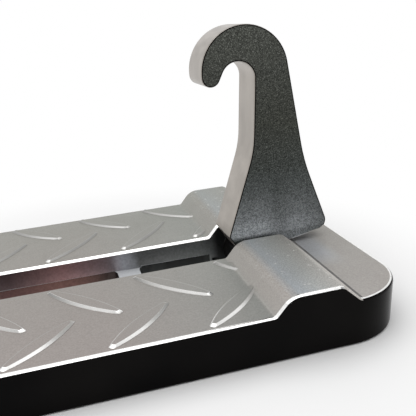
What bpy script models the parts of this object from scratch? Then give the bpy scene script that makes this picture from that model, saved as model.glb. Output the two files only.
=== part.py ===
# Folding car door latch step: a cast aluminium tread plate whose hook folds down into a slot.
# Metres, +Z up, +X towards the hinge end. The origin lies on the floor under the middle of the part.
import bmesh
import bpy
from math import acos, asin, atan2, ceil, cos, pi, radians, sin
from mathutils import Vector

# Tread plate
PLATE_LENGTH = 0.1600
PLATE_WIDTH = 0.0900
TREAD_HEIGHT = 0.0112
TREAD_THICKNESS = 0.0040
CORNER_RADIUS = 0.0155
EDGE_CHAMFER = 0.0008
WALL_DRAFT = 0.0005
SKIRT_WALL = 0.0035
END_WALL = 0.0050
CROSS_RIB = 0.0030
BAY_RADIUS = 0.0030

# Raised ridge that houses the hinge, and the flat shelf beyond it
SHELF_LENGTH = 0.0143
RIDGE_FALL = 0.00435
RIDGE_TOP = 0.01225
RIDGE_RISE = 0.0037
RIDGE_HEIGHT = 0.0041
RIDGE_SHOULDER_RADIUS = 0.0047
RIDGE_BROW_RADIUS = 0.0025

# Slot that takes the folded hook, with two windows either side of a bridge
SLOT_WIDTH = 0.0170
SLOT_DEPTH = 0.0055
SLOT_FROM_LEFT_END = 0.0454
SLOT_SIDE_WALL = 0.0035
SLOT_CORNER = 0.0010
WINDOW_UNDERCUT = 0.0011
WINDOW_STEP = 0.0001
WINDOW_RADIUS = 0.0030
BRIDGE_WIDTH = 0.0062
BRIDGE_FROM_PIN = 0.0350
BRIDGE_LIFT = 0.0014

# Raised bars of the tread, in two rows each side of the slot
BAR_WIDTH = 0.0046
BAR_HEIGHT = 0.0005
BAR_BEVEL = 0.0006
BAR_TIP_RADIUS = 0.0008
BAR_ROOT = 0.0006
BAR_SINK = 0.0001
BAR_PITCH = 0.0212
INNER_BAR_LENGTH = 0.0245
INNER_BAR_LEAN = radians(50)
INNER_ROW_FROM_SLOT = 0.0111
INNER_ROW_FROM_RIDGE = -0.0040
OUTER_BAR_LENGTH = 0.0215
OUTER_BAR_LEAN = radians(-46)
OUTER_ROW_FROM_EDGE = 0.0092
OUTER_ROW_FROM_RIDGE = 0.0063
ROW_MARGIN = 0.0110

# Hinge
PIN_RADIUS = 0.0030
PIN_LENGTH = 0.0440
PIN_FROM_HINGE_END = 0.0240
PIN_BELOW_TREAD = 0.0037
RUNNING_GAP = 0.0001
FIT_GAP = 0.0003
CHEEK_WIDTH = 0.0165
WASHER_OVERLAP = 0.0032
KEEPER_LENGTH = 0.0190
KEEPER_WIDTH = 0.0145
KEEPER_THICKNESS = 0.0016
KEEPER_CORNER = 0.0020
KEEPER_MARGIN = 0.0005
KEEPER_SCREW_FROM_END = 0.0029

# Hook, measured from the pin's axis
HOOK_THICKNESS = 0.0130
HOOK_EDGE_BREAK = 0.0004
EYE_RADIUS = 0.0069
SLOT_RUNOUT = 0.0006
HOOK_REACH = 0.06272
HEAD_RADIUS = 0.01152
HEAD_CENTRE = Vector((-0.0011, HOOK_REACH - HEAD_RADIUS))
THROAT_FROM_HEAD = Vector((-0.0020, -0.00165))
THROAT_RADIUS = 0.00433
NOSE_RADIUS = 0.00242
NOSE_ANGLE = radians(183.5)
FRONT_KNEE = Vector((-0.0269, 0.0368))
FRONT_KNEE_RADIUS = 0.0270
SHOULDER = Vector((-0.00802, 0.00828))
SHOULDER_RADIUS = 0.0005
SHOULDER_FILLET = 0.0010
SHOULDER_FILLET_ANGLE = radians(152.9)
HEEL = Vector((0.0170, 0.0088))
HEEL_RADIUS = 0.0027
HEEL_FILLET = 0.0015
HEEL_FILLET_ANGLE = radians(19.9)
BACK_KNEE = Vector((0.0628, 0.0381))
BACK_KNEE_RADIUS = 0.0500

# Rubber buffer on the hinge end
BUFFER_LENGTH = 0.0560
BUFFER_HEIGHT = 0.0064
BUFFER_THICKNESS = 0.0040
BUFFER_PROUD = 0.0020
BUFFER_EDGE = 0.0008
BUFFER_SCREW_FROM_END = 0.0080
BUFFER_SCREW_SUNK = 0.0021

# Socket head screws, with radii for the shank, head and socket
KEEPER_SCREW = {"shank": 0.0015, "length": 0.0075, "head": 0.0028, "height": 0.0016,
                "socket": 0.0012, "socket_depth": 0.0009}
BUFFER_SCREW = {"shank": 0.00125, "length": 0.0058, "head": 0.0021, "height": 0.0013,
                "socket": 0.0010, "socket_depth": 0.0007}

# Fineness of round forms
ARC_STEP = radians(10)
RIDGE_ARC_STEP = radians(8)
COARSE_ARC_STEP = radians(30)
BAR_ARC_STEP = radians(36)
BAR_SIDE_STEPS = 6
ROUND_SIDES = 48
HEAD_SIDES = 32
SHANK_SIDES = 16
SOCKET_SIDES = 6

# Working values: how far cutters overshoot, what counts as one point, one plane or a sharp edge
CUT_BEYOND = 0.0100
WELD = 0.00001
FLAT_WITHIN = radians(0.1)
CHAMFER_ABOVE = radians(60)
SMOOTH_BELOW = radians(40)

# Places worked out from the sizes above
PART_LENGTH = PLATE_LENGTH + BUFFER_PROUD
PLATE_LEFT = -PART_LENGTH / 2
PLATE_RIGHT = PLATE_LEFT + PLATE_LENGTH
SHELF_FOOT = PLATE_RIGHT - SHELF_LENGTH
BROW = SHELF_FOOT - RIDGE_FALL
SHOULDER_EDGE = BROW - RIDGE_TOP
TREAD_FOOT = SHOULDER_EDGE - RIDGE_RISE
RIDGE_LEVEL = TREAD_HEIGHT + RIDGE_HEIGHT
PIN_X = PLATE_RIGHT - PIN_FROM_HINGE_END
PIN_Z = TREAD_HEIGHT - PIN_BELOW_TREAD
SLOT_LEFT = PLATE_LEFT + SLOT_FROM_LEFT_END
SLOT_RIGHT = PIN_X + EYE_RADIUS + SLOT_RUNOUT
SLOT_FLOOR = TREAD_HEIGHT - SLOT_DEPTH
BRIDGE_X = PIN_X - BRIDGE_FROM_PIN
HALF_SLOT = SLOT_WIDTH / 2
CHEEK_FLOOR = PIN_Z - PIN_RADIUS
CHEEK_OUTSIDE = HALF_SLOT + CHEEK_WIDTH
KEEPER_TOP = CHEEK_FLOOR - FIT_GAP
BUFFER_Z = TREAD_HEIGHT / 2
BUFFER_FACE = PLATE_RIGHT + BUFFER_PROUD


def rolled(vector, angle):
    """The flat vector turned anticlockwise by the angle."""
    along = Vector((cos(angle), sin(angle)))
    across = Vector((-sin(angle), cos(angle)))
    return along * vector.x + across * vector.y


def tangent(peg_a, peg_b):
    """Where a belt leaves one peg and meets the next. A peg is (centre, radius), and a radius is
    positive where the belt turns left around it and negative where it turns right."""
    (centre_a, radius_a), (centre_b, radius_b) = peg_a, peg_b
    reach = centre_b - centre_a
    lean = max(-1.0, min(1.0, (radius_b - radius_a) / reach.length))
    heading = rolled(reach.normalized(), -asin(lean))
    left = Vector((-heading.y, heading.x))
    return centre_a - left * radius_a, centre_b - left * radius_b


def belt(pegs, arc_step=ARC_STEP):
    """The closed outline of a belt that runs anticlockwise around the pegs."""
    pegs = [peg for index, peg in enumerate(pegs) if (peg[0] - pegs[index - 1][0]).length > WELD]
    points = []
    for index, (centre, radius) in enumerate(pegs):
        arrives = tangent(pegs[index - 1], (centre, radius))[1]
        leaves = tangent((centre, radius), pegs[(index + 1) % len(pegs)])[0]
        if radius == 0:
            points.append(centre.copy())
            continue
        spoke_in, spoke_out = (arrives - centre), (leaves - centre)
        sweep = atan2(spoke_in.x * spoke_out.y - spoke_in.y * spoke_out.x, spoke_in.dot(spoke_out))
        if radius > 0 and sweep < -WELD:
            sweep += 2 * pi
        if radius < 0 and sweep > WELD:
            sweep -= 2 * pi
        steps = max(1, ceil(abs(sweep) / arc_step))
        points += [centre + rolled(spoke_in, sweep * step / steps) for step in range(steps + 1)]
    return [p for index, p in enumerate(points) if (p - points[index - 1]).length > WELD]


def rounded_box(low_x, high_x, low_y, high_y, radii):
    """A rectangle's pegs, with the corner radii in the order right-low, right-high, left-high, left-low.
    A radius is at most half the rectangle's shorter side."""
    largest = min(high_x - low_x, high_y - low_y) / 2
    radii = [min(radius, largest) for radius in radii]
    corners = ((high_x, low_y), (high_x, high_y), (low_x, high_y), (low_x, low_y))
    inwards = ((-1, 1), (-1, -1), (1, -1), (1, 1))
    return [(Vector(corner) + Vector(turn) * r, r) for corner, turn, r in zip(corners, inwards, radii)]


def collection(name):
    made = bpy.data.collections.new(name)
    bpy.context.scene.collection.children.link(made)
    return made


def material(name, colour, roughness, metallic):
    made = bpy.data.materials.new(name)
    made.use_nodes = True
    shader = made.node_tree.nodes["Principled BSDF"]
    shader.inputs["Base Color"].default_value = (*colour, 1.0)
    shader.inputs["Roughness"].default_value = roughness
    shader.inputs["Metallic"].default_value = metallic
    return made


def placed(obj, name, home, finish=None):
    """Name an object, move it to its collection and give it its material."""
    obj.name = name
    obj.data.name = name
    for old in list(obj.users_collection):
        old.objects.unlink(obj)
    home.objects.link(obj)
    if finish:
        obj.data.materials.clear()
        obj.data.materials.append(finish)
    return obj


def as_cutter(obj):
    obj.hide_render = True
    obj.display_type = "WIRE"
    return obj


def slab(name, outline, low, high, home, along="Z", finish=None, origin=(0, 0, 0)):
    """A flat outline drawn as a 2D curve and extruded between two levels: a plan view along Z,
    or a side view whose second coordinate is the height along Y."""
    curve = bpy.data.curves.new(name, "CURVE")
    curve.dimensions = "2D"
    curve.fill_mode = "BOTH"
    curve.extrude = (high - low) / 2
    spline = curve.splines.new("POLY")
    spline.points.add(len(outline) - 1)
    for point, flat in zip(spline.points, outline):
        point.co = (flat.x, flat.y, 0, 1)
    spline.use_cyclic_u = True
    drawn = bpy.data.objects.new(name + "_outline", curve)
    bpy.context.scene.collection.objects.link(drawn)
    middle = (low + high) / 2
    drawn.location = Vector(origin) + (Vector((0, 0, middle)) if along == "Z" else Vector((0, middle, 0)))
    drawn.rotation_euler = (0, 0, 0) if along == "Z" else (pi / 2, 0, 0)
    bpy.context.view_layer.update()
    mesh = bpy.data.meshes.new_from_object(drawn.evaluated_get(bpy.context.evaluated_depsgraph_get()))
    solid = bpy.data.objects.new(name, mesh)
    solid.matrix_world = drawn.matrix_world.copy()
    bpy.context.scene.collection.objects.link(solid)
    bpy.data.objects.remove(drawn)
    shape = bmesh.new()
    shape.from_mesh(mesh)
    bmesh.ops.remove_doubles(shape, verts=shape.verts, dist=WELD)
    bmesh.ops.dissolve_limit(shape, angle_limit=FLAT_WITHIN, verts=shape.verts, edges=shape.edges)
    bmesh.ops.recalc_face_normals(shape, faces=shape.faces)
    shape.to_mesh(mesh)
    shape.free()
    return placed(solid, name, home, finish)


def boolean(obj, tool, operation="DIFFERENCE", crossing=False):
    """Cut, join or intersect. Crossing is for a tool whose own forms may run into each other."""
    modifier = obj.modifiers.new(tool.name, "BOOLEAN")
    modifier.operation = operation
    modifier.object = tool
    modifier.use_self = crossing


def chamfer(obj, width):
    modifier = obj.modifiers.new("chamfer", "BEVEL")
    modifier.width = width
    modifier.segments = 1
    modifier.limit_method = "ANGLE"
    modifier.angle_limit = CHAMFER_ABOVE
    modifier.use_clamp_overlap = False


def rod(name, radius, length, centre, axis, home, finish=None, sides=ROUND_SIDES):
    """A cylinder with its middle at the centre, along X, Y or Z."""
    bpy.ops.mesh.primitive_cylinder_add(vertices=sides, radius=radius, depth=length, location=centre)
    obj = bpy.context.object
    obj.rotation_euler = {"X": (0, pi / 2, 0), "Y": (pi / 2, 0, 0), "Z": (0, 0, 0)}[axis]
    obj.data.shade_smooth()
    obj.data.set_sharp_from_angle(angle=SMOOTH_BELOW)
    return placed(obj, name, home, finish)


def heel_line():
    """The straight underside of the hook's heel, as two points relative to the pin."""
    fillet = (rolled(Vector((EYE_RADIUS + HEEL_FILLET, 0)), HEEL_FILLET_ANGLE), -HEEL_FILLET)
    return tangent(fillet, (HEEL, HEEL_RADIUS))


def hook_outline():
    """The hook's side view: eye, heel, back, head, nose, throat, front and shoulder."""
    eye = (Vector((0, 0)), EYE_RADIUS)
    heel_fillet = (rolled(Vector((EYE_RADIUS + HEEL_FILLET, 0)), HEEL_FILLET_ANGLE), -HEEL_FILLET)
    nose = HEAD_CENTRE + rolled(Vector((HEAD_RADIUS - NOSE_RADIUS, 0)), NOSE_ANGLE)
    shoulder_fillet = rolled(Vector((EYE_RADIUS + SHOULDER_FILLET, 0)), SHOULDER_FILLET_ANGLE)
    throat = HEAD_CENTRE + THROAT_FROM_HEAD
    pegs = [eye, heel_fillet, (HEEL, HEEL_RADIUS), (BACK_KNEE, -BACK_KNEE_RADIUS),
            (HEAD_CENTRE, HEAD_RADIUS), (nose, NOSE_RADIUS), (throat, -THROAT_RADIUS),
            (FRONT_KNEE, -FRONT_KNEE_RADIUS), (SHOULDER, SHOULDER_RADIUS),
            (shoulder_fillet, -SHOULDER_FILLET)]
    return belt(pegs)


def make_hook(parts, cutters, finish):
    pin_axis = (PIN_X, 0, PIN_Z)
    half = HOOK_THICKNESS / 2
    hook = slab("hook", hook_outline(), -half, half, parts, "Y", finish, pin_axis)
    bore = rod("hook_bore", PIN_RADIUS + RUNNING_GAP, HOOK_THICKNESS + CUT_BEYOND, pin_axis, "Y", cutters)
    boolean(hook, as_cutter(bore))
    chamfer(hook, HOOK_EDGE_BREAK)


def ridge_profile():
    """The plate's side view, with the ridge and its two rounded edges."""
    corners = [((PLATE_RIGHT + CUT_BEYOND, 0), 0), ((PLATE_RIGHT + CUT_BEYOND, TREAD_HEIGHT), 0),
               ((SHELF_FOOT, TREAD_HEIGHT), 0), ((BROW, RIDGE_LEVEL), RIDGE_BROW_RADIUS),
               ((SHOULDER_EDGE, RIDGE_LEVEL), RIDGE_SHOULDER_RADIUS), ((TREAD_FOOT, TREAD_HEIGHT), 0),
               ((PLATE_LEFT - CUT_BEYOND, TREAD_HEIGHT), 0), ((PLATE_LEFT - CUT_BEYOND, 0), 0)]
    pegs = []
    for index, (corner, radius) in enumerate(corners):
        here = Vector(corner)
        ahead = (Vector(corners[(index + 1) % len(corners)][0]) - here).normalized()
        behind = (Vector(corners[index - 1][0]) - here).normalized()
        half_angle = acos(ahead.dot(behind)) / 2
        inwards = (ahead + behind).normalized()
        pegs.append((here + inwards * (radius / sin(half_angle)), radius))
    return belt(pegs, RIDGE_ARC_STEP)


def tread_bars(cutters):
    """All raised bars as one set of bevelled lens forms, mirrored about the slot."""
    forms = bmesh.new()
    inner_row, outer_row = HALF_SLOT + INNER_ROW_FROM_SLOT, PLATE_WIDTH / 2 - OUTER_ROW_FROM_EDGE
    rows = ((INNER_BAR_LENGTH, INNER_BAR_LEAN, inner_row, INNER_ROW_FROM_RIDGE),
            (OUTER_BAR_LENGTH, OUTER_BAR_LEAN, outer_row, OUTER_ROW_FROM_RIDGE))
    for length, lean, from_middle, from_ridge in rows:
        reach = length / 2 - BAR_TIP_RADIUS
        side = (reach ** 2 + (BAR_WIDTH / 2) ** 2 - BAR_TIP_RADIUS ** 2) / (BAR_WIDTH - 2 * BAR_TIP_RADIUS)
        offset = side - BAR_WIDTH / 2
        lens = [(Vector((reach, 0)), BAR_TIP_RADIUS), (Vector((0, -offset)), side),
                (Vector((-reach, 0)), BAR_TIP_RADIUS), (Vector((0, offset)), side)]
        outline = lens_outline(lens)
        x = TREAD_FOOT - from_ridge
        while x - length / 2 > PLATE_LEFT + ROW_MARGIN:
            for mirror in (1, -1):
                add_bar(forms, outline, x, mirror * from_middle, mirror * lean)
            x -= BAR_PITCH
    mesh = bpy.data.meshes.new("tread_bars")
    forms.to_mesh(mesh)
    forms.free()
    obj = bpy.data.objects.new("tread_bars", mesh)
    bpy.context.scene.collection.objects.link(obj)
    return as_cutter(placed(obj, "tread_bars", cutters))


def lens_outline(lens):
    """A bar's outline: round tips joined by two long shallow arcs in a few steps each."""
    points = []
    for index, (centre, radius) in enumerate(lens):
        arrives = tangent(lens[index - 1], (centre, radius))[1] - centre
        leaves = tangent((centre, radius), lens[(index + 1) % len(lens)])[0] - centre
        sweep = acos(max(-1.0, min(1.0, arrives.normalized().dot(leaves.normalized()))))
        steps = BAR_SIDE_STEPS if radius > BAR_TIP_RADIUS else max(2, ceil(sweep / BAR_ARC_STEP))
        points += [centre + rolled(arrives, sweep * step / steps) for step in range(steps)]
    return points


def add_bar(forms, outline, x, y, lean):
    """One raised bar: an upright root inside the plate, then a bevel that rises out of the tread."""
    turned = [rolled(point, lean) + Vector((x, y)) for point in outline]
    base = [forms.verts.new((point.x, point.y, TREAD_HEIGHT - BAR_ROOT)) for point in turned]
    face = forms.faces.new(base)
    face.normal_flip()
    lifted = bmesh.ops.extrude_face_region(forms, geom=[face], use_keep_orig=True)["geom"]
    top = [item for item in lifted if isinstance(item, bmesh.types.BMFace)]
    bmesh.ops.translate(forms, verts=top[0].verts[:], vec=(0, 0, BAR_ROOT - BAR_SINK))
    bmesh.ops.inset_region(forms, faces=top, thickness=BAR_BEVEL, use_even_offset=True)
    bmesh.ops.translate(forms, verts=top[0].verts[:], vec=(0, 0, BAR_HEIGHT + BAR_SINK))
    bmesh.ops.recalc_face_normals(forms, faces=forms.faces)


def bay_cutters(cutters):
    """The pockets under the plate, between its skirt, its cross ribs and the walls of the slot."""
    ceiling = TREAD_HEIGHT - TREAD_THICKNESS
    inside, outside = HALF_SLOT + SLOT_SIDE_WALL, PLATE_WIDTH / 2 - SKIRT_WALL
    left_wall = PLATE_LEFT + SKIRT_WALL
    slot_end_wall = SLOT_LEFT - SLOT_SIDE_WALL
    block_left = PIN_X - KEEPER_LENGTH / 2 - KEEPER_MARGIN - SKIRT_WALL
    block_right = PIN_X + KEEPER_LENGTH / 2 + KEEPER_MARGIN + CROSS_RIB / 2
    shelf_outside = PLATE_WIDTH / 2 - CORNER_RADIUS + BAY_RADIUS
    shelf_wall = block_right + CROSS_RIB / 2
    plans = [("left_bay", left_wall, slot_end_wall, inside, outside),
             ("middle_bay", slot_end_wall + CROSS_RIB, BRIDGE_X - CROSS_RIB / 2, inside, outside),
             ("ridge_bay", BRIDGE_X + CROSS_RIB / 2, block_left, inside, outside),
             ("hinge_bay", block_left + CROSS_RIB, block_right, CHEEK_OUTSIDE + CROSS_RIB, outside),
             ("shelf_bay", shelf_wall, PLATE_RIGHT - END_WALL, CROSS_RIB / 2, shelf_outside)]
    made = []
    for name, low_x, high_x, low_y, high_y in plans:
        outer_corner = CORNER_RADIUS - SKIRT_WALL if name == "left_bay" else BAY_RADIUS
        rear_radii = (BAY_RADIUS, BAY_RADIUS, outer_corner, BAY_RADIUS)
        front_radii = (BAY_RADIUS, BAY_RADIUS, BAY_RADIUS, outer_corner)
        sides = (("rear", low_y, high_y, rear_radii), ("front", -high_y, -low_y, front_radii))
        for side, y0, y1, radii in sides:
            plan = belt(rounded_box(low_x, high_x, y0, y1, radii), COARSE_ARC_STEP)
            made.append(slab(f"{name}_{side}", plan, -CUT_BEYOND, ceiling, cutters))
    centre = rounded_box(left_wall, slot_end_wall, -HALF_SLOT, HALF_SLOT, (BAY_RADIUS,) * 4)
    made.append(slab("left_bay_centre", belt(centre, COARSE_ARC_STEP), -CUT_BEYOND, ceiling, cutters))
    return made


def keeper_places():
    """The side name and middle of each keeper, with the name and place of each of its screws."""
    middle = CHEEK_OUTSIDE - KEEPER_MARGIN - KEEPER_WIDTH / 2
    from_pin = KEEPER_LENGTH / 2 - KEEPER_SCREW_FROM_END
    for side, y in (("front", -middle), ("rear", middle)):
        yield side, y, [("left", PIN_X - from_pin, y), ("right", PIN_X + from_pin, y)]


def hinge_cutters(cutters):
    """The keepers' recess, the pin's saddles and the keepers' screw holes."""
    span = KEEPER_LENGTH / 2 + KEEPER_MARGIN
    recess = rounded_box(PIN_X - span, PIN_X + span, -CHEEK_OUTSIDE, CHEEK_OUTSIDE, (KEEPER_CORNER,) * 4)
    made = [slab("keeper_recess", belt(recess, COARSE_ARC_STEP), -CUT_BEYOND, CHEEK_FLOOR, cutters)]
    saddle = PIN_RADIUS + RUNNING_GAP
    mouth = CHEEK_FLOOR - CUT_BEYOND
    arch = [(Vector((PIN_X - saddle, mouth)), 0), (Vector((PIN_X + saddle, mouth)), 0),
            (Vector((PIN_X, PIN_Z)), saddle)]
    reach = PIN_LENGTH / 2 + FIT_GAP
    made.append(slab("pin_saddle", belt(arch), -reach, reach, cutters, "Y"))
    top = KEEPER_TOP - KEEPER_THICKNESS + KEEPER_SCREW["length"]
    bottom = CHEEK_FLOOR - CUT_BEYOND
    for side, _, screws in keeper_places():
        for end, x, y in screws:
            made.append(rod(f"keeper_hole_{side}_{end}", KEEPER_SCREW["shank"] + FIT_GAP, top - bottom,
                            (x, y, (top + bottom) / 2), "Z", cutters, sides=SHANK_SIDES))
    return made


def heel_seat(cutters):
    """The ramp cut in the ridge's foot, where the upright hook's heel comes to rest."""
    start, finish = heel_line()
    along = (finish - start).normalized()
    drop = Vector((along.y, -along.x)) * FIT_GAP
    pin = Vector((PIN_X, PIN_Z))
    low = pin + start + drop - along * BAY_RADIUS
    high = pin + finish + drop
    top = RIDGE_LEVEL + CUT_BEYOND
    outline = [low, high, Vector((high.x, top)), Vector((low.x, top))]
    return slab("heel_seat", outline, FIT_GAP - HALF_SLOT, HALF_SLOT - FIT_GAP, cutters, "Y")


def slot_plan(low_x, high_x, half, left_radius, right_radius):
    radii = (right_radius, right_radius, left_radius, left_radius)
    return belt(rounded_box(low_x, high_x, -half, half, radii))


def bridge_bar(cutters):
    """The block left standing across the slot, before the windows shape its sides."""
    reach = BRIDGE_WIDTH / 2 + WINDOW_RADIUS + FIT_GAP
    side = HALF_SLOT + SLOT_SIDE_WALL / 2
    plan = belt(rounded_box(BRIDGE_X - reach, BRIDGE_X + reach, -side, side, (0,) * 4))
    return slab("bridge_bar", plan, BRIDGE_LIFT, SLOT_FLOOR, cutters)


def window_cutters(cutters):
    """The two windows below the slot, a little wider than it, with rounded corners at the bridge."""
    half = HALF_SLOT + WINDOW_UNDERCUT
    left_end = SLOT_LEFT - WINDOW_UNDERCUT
    right_end = PIN_X - KEEPER_LENGTH / 2 - KEEPER_MARGIN
    bridge_left, bridge_right = BRIDGE_X - BRIDGE_WIDTH / 2, BRIDGE_X + BRIDGE_WIDTH / 2
    left_plan = slot_plan(left_end, bridge_left, half, half, WINDOW_RADIUS)
    right_plan = slot_plan(bridge_right, right_end, half, WINDOW_RADIUS, WINDOW_RADIUS)
    top = SLOT_FLOOR + WINDOW_STEP
    return [slab("window_left", left_plan, -CUT_BEYOND, top, cutters),
            slab("window_right", right_plan, -CUT_BEYOND, top, cutters)]


def drafted_plan(cutters):
    """The plate's plan view as a solid whose walls lean in a little towards the bottom."""
    half = PLATE_WIDTH / 2
    plan = belt(rounded_box(PLATE_LEFT, PLATE_RIGHT, -half, half, (CORNER_RADIUS,) * 4))
    solid = slab("plate_plan", plan, -FIT_GAP, RIDGE_LEVEL + CUT_BEYOND, cutters)
    middle = (PLATE_LEFT + PLATE_RIGHT) / 2
    for vertex in solid.data.vertices:
        place = solid.matrix_world @ vertex.co
        inset = WALL_DRAFT * (TREAD_HEIGHT - EDGE_CHAMFER - place.z) / TREAD_HEIGHT
        vertex.co.x -= inset * (1 if place.x > middle else -1)
        vertex.co.y -= inset * (1 if place.y > 0 else -1)
    return solid


def make_plate(parts, cutters, finish):
    beyond = PLATE_WIDTH / 2 + CUT_BEYOND
    plate = slab("body_plate", ridge_profile(), -beyond, beyond, parts, "Y", finish)
    slot = slab("slot", slot_plan(SLOT_LEFT, SLOT_RIGHT, HALF_SLOT, HALF_SLOT, SLOT_CORNER), -CUT_BEYOND,
                RIDGE_LEVEL + CUT_BEYOND, cutters)
    boolean(plate, as_cutter(drafted_plan(cutters)), "INTERSECT")
    boolean(plate, as_cutter(slot))
    chamfer(plate, EDGE_CHAMFER)
    boolean(plate, as_cutter(bridge_bar(cutters)), "UNION")
    boolean(plate, tread_bars(cutters), "UNION", crossing=True)
    shapes = window_cutters(cutters) + bay_cutters(cutters) + hinge_cutters(cutters) + [heel_seat(cutters)]
    for tool in shapes + buffer_cutters(cutters):
        boolean(plate, as_cutter(tool))


def buffer_screw_places():
    from_middle = BUFFER_LENGTH / 2 - BUFFER_SCREW_FROM_END
    return (("front", -from_middle), ("rear", from_middle))


def buffer_cutters(cutters):
    """The buffer's recess in the end wall, and its screws' holes."""
    inner_face = BUFFER_FACE - BUFFER_THICKNESS - FIT_GAP
    half_y = BUFFER_LENGTH / 2 + FIT_GAP
    half_z = BUFFER_HEIGHT / 2 + FIT_GAP
    plan = belt(rounded_box(inner_face, PLATE_RIGHT + CUT_BEYOND, -half_y, half_y, (0,) * 4))
    made = [slab("buffer_recess", plan, BUFFER_Z - half_z, BUFFER_Z + half_z, cutters)]
    for side, y in buffer_screw_places():
        middle = (PLATE_RIGHT - END_WALL / 2, y, BUFFER_Z)
        made.append(rod(f"buffer_hole_{side}", BUFFER_SCREW["shank"] + FIT_GAP, 2 * END_WALL + CUT_BEYOND,
                        middle, "X", cutters, sides=SHANK_SIDES))
    return made


def make_pin_and_washers(parts, cutters, steel, nylon):
    pin = rod("hinge_pin", PIN_RADIUS, PIN_LENGTH, (PIN_X, 0, PIN_Z), "Y", parts, steel)
    chamfer(pin, HOOK_EDGE_BREAK)
    beside_hook = HOOK_THICKNESS / 2 + FIT_GAP
    beside_cheek = HALF_SLOT - FIT_GAP
    thickness = beside_cheek - beside_hook
    middle = (beside_hook + beside_cheek) / 2
    outer, bore = PIN_RADIUS + WASHER_OVERLAP, PIN_RADIUS + RUNNING_GAP
    for side, y in (("front", -middle), ("rear", middle)):
        place = (PIN_X, y, PIN_Z)
        washer = rod(f"thrust_washer_{side}", outer, thickness, place, "Y", parts, nylon)
        hole = rod(f"washer_hole_{side}", bore, thickness + CUT_BEYOND, place, "Y", cutters)
        boolean(washer, as_cutter(hole))


def make_keepers(parts, cutters, steel):
    """The two plates that hold the pin up in its saddles, each with two screws."""
    bottom = KEEPER_TOP - KEEPER_THICKNESS
    half_x, half_y = KEEPER_LENGTH / 2, KEEPER_WIDTH / 2
    for side, middle, screws in keeper_places():
        corners = (PIN_X - half_x, PIN_X + half_x, middle - half_y, middle + half_y)
        plan = belt(rounded_box(*corners, (KEEPER_CORNER,) * 4), COARSE_ARC_STEP)
        keeper = slab(f"pin_keeper_{side}", plan, bottom, KEEPER_TOP, parts, finish=steel)
        for end, x, y in screws:
            hole = rod(f"keeper_clearance_{side}_{end}", KEEPER_SCREW["shank"] + FIT_GAP, CUT_BEYOND,
                       (x, y, KEEPER_TOP), "Z", cutters, sides=SHANK_SIDES)
            boolean(keeper, as_cutter(hole))
            make_screw(f"keeper_screw_{side}_{end}", KEEPER_SCREW, (x, y, bottom - FIT_GAP), "Z", -1,
                       parts, cutters, steel)


def make_screw(name, size, under_head, axis, out, parts, cutters, steel):
    """A socket head screw. The point is the middle of the face under its head, and the head
    stands on the out side of it along the axis."""
    step = Vector({"X": (1, 0, 0), "Z": (0, 0, 1)}[axis]) * out
    seat = Vector(under_head)
    head = rod(name, size["head"], size["height"], seat + step * size["height"] / 2, axis, parts, steel,
               sides=HEAD_SIDES)
    chamfer(head, HOOK_EDGE_BREAK)
    overlap = size["height"] / 2
    shank = rod(name + "_shank", size["shank"], size["length"] + overlap,
                seat - step * (size["length"] - overlap) / 2, axis, cutters, sides=SHANK_SIDES)
    boolean(head, as_cutter(shank), "UNION")
    socket = rod(name + "_socket", size["socket"], 2 * size["socket_depth"], seat + step * size["height"],
                 axis, cutters, sides=SOCKET_SIDES)
    boolean(head, as_cutter(socket))


def make_buffer(parts, cutters, rubber, steel):
    """The rubber pad, with its screws sunk below its face."""
    half_y, half_z = BUFFER_LENGTH / 2, BUFFER_HEIGHT / 2
    plan = belt(rounded_box(BUFFER_FACE - BUFFER_THICKNESS, BUFFER_FACE, -half_y, half_y, (0,) * 4))
    pad = slab("end_buffer", plan, BUFFER_Z - half_z, BUFFER_Z + half_z, parts, finish=rubber)
    chamfer(pad, BUFFER_EDGE)
    floor = BUFFER_FACE - BUFFER_SCREW_SUNK
    for side, y in buffer_screw_places():
        sink = rod(f"buffer_sink_{side}", BUFFER_SCREW["head"] + FIT_GAP, CUT_BEYOND,
                   (floor + CUT_BEYOND / 2, y, BUFFER_Z), "X", cutters, sides=HEAD_SIDES)
        clearance = rod(f"buffer_clearance_{side}", BUFFER_SCREW["shank"] + FIT_GAP, 2 * CUT_BEYOND,
                        (PLATE_RIGHT, y, BUFFER_Z), "X", cutters, sides=SHANK_SIDES)
        boolean(pad, as_cutter(sink))
        boolean(pad, as_cutter(clearance))
        make_screw(f"buffer_screw_{side}", BUFFER_SCREW, (floor + FIT_GAP, y, BUFFER_Z), "X", 1,
                   parts, cutters, steel)


def main():
    for obj in list(bpy.data.objects):
        bpy.data.objects.remove(obj, do_unlink=True)
    parts = collection("car_door_latch_step")
    cutters = collection("cutters")
    aluminium = material("satin_aluminium", (0.46, 0.45, 0.44), 0.32, 1.0)
    powder = material("dark_textured_coat", (0.060, 0.066, 0.064), 0.55, 0.3)
    steel = material("zinc_steel", (0.55, 0.55, 0.56), 0.30, 1.0)
    nylon = material("natural_nylon", (0.70, 0.68, 0.62), 0.45, 0.0)
    rubber = material("black_rubber", (0.02, 0.02, 0.02), 0.75, 0.0)
    make_plate(parts, cutters, aluminium)
    make_hook(parts, cutters, powder)
    make_pin_and_washers(parts, cutters, steel, nylon)
    make_keepers(parts, cutters, steel)
    make_buffer(parts, cutters, rubber, steel)


main()
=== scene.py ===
from math import asin, atan2, cos, pi, radians, sin, tan

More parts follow.
